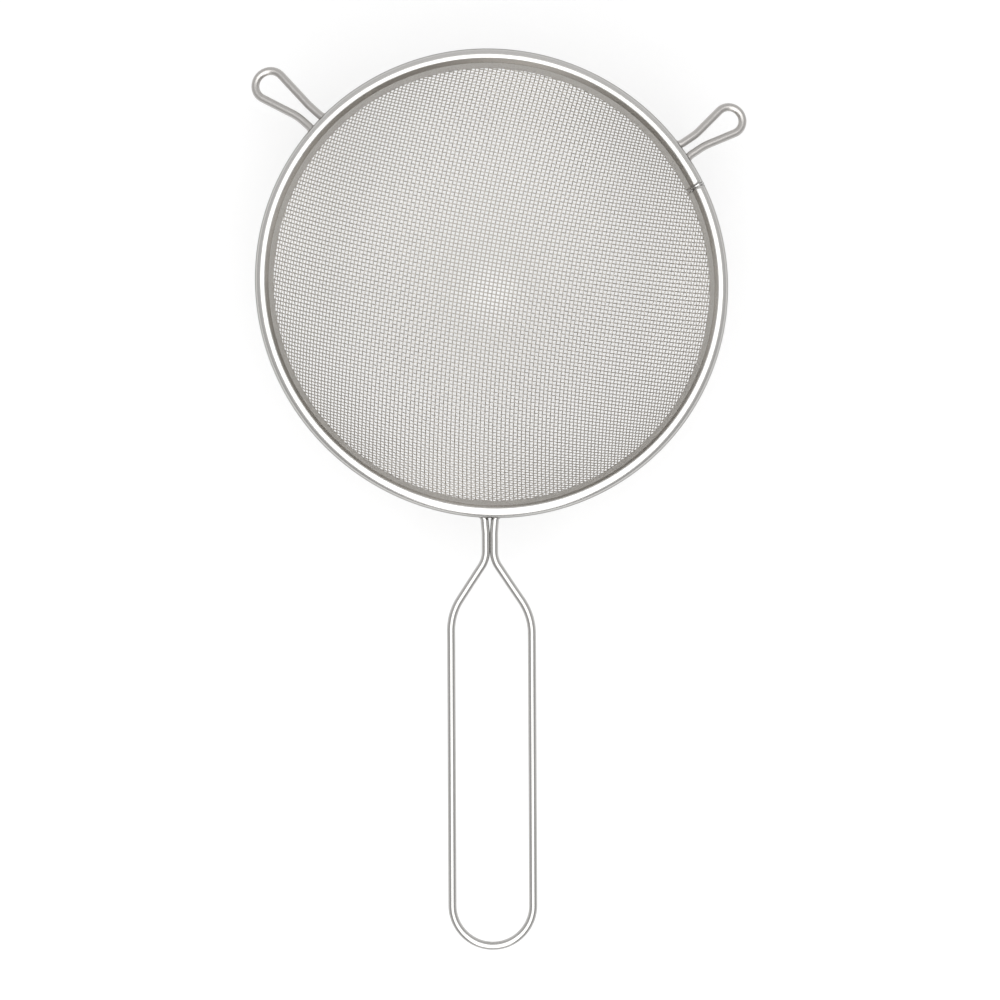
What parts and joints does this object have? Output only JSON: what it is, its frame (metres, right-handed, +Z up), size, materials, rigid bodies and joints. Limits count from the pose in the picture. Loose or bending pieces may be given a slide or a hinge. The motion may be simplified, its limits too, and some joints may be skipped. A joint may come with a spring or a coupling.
{
  "type": "wire mesh strainer",
  "caption": "Round fine-mesh strainer with a pressed mesh bowl, a rolled steel rim, a long looped wire handle and small wire ears that rest on the edge of a pot",
  "frame": {"origin": "On the bowl's axis, in the plane of the undersides of the handle and ear wires, which is the plane of a pot's edge when the strainer hangs in the pot", "axes": "+Z up out of the bowl, -Y along the handle, +X to the right with the handle toward the viewer"},
  "size_m": [0.2096, 0.3834, 0.0636],
  "materials": {
    "steel_mesh": "bright drawn stainless wire, plain woven",
    "steel_band": "smooth satin stainless strip",
    "steel_wire": "electropolished stainless wire"
  },
  "bodies": {
    "root": {"mesh_bowl": "steel_mesh", "rim_band": "steel_band", "rim_hoop": "steel_wire", "seam_weld": "steel_band", "handle_loop": "steel_wire", "ear_right": "steel_wire", "ear_left": "steel_wire"}
  },
  "joints": []
}
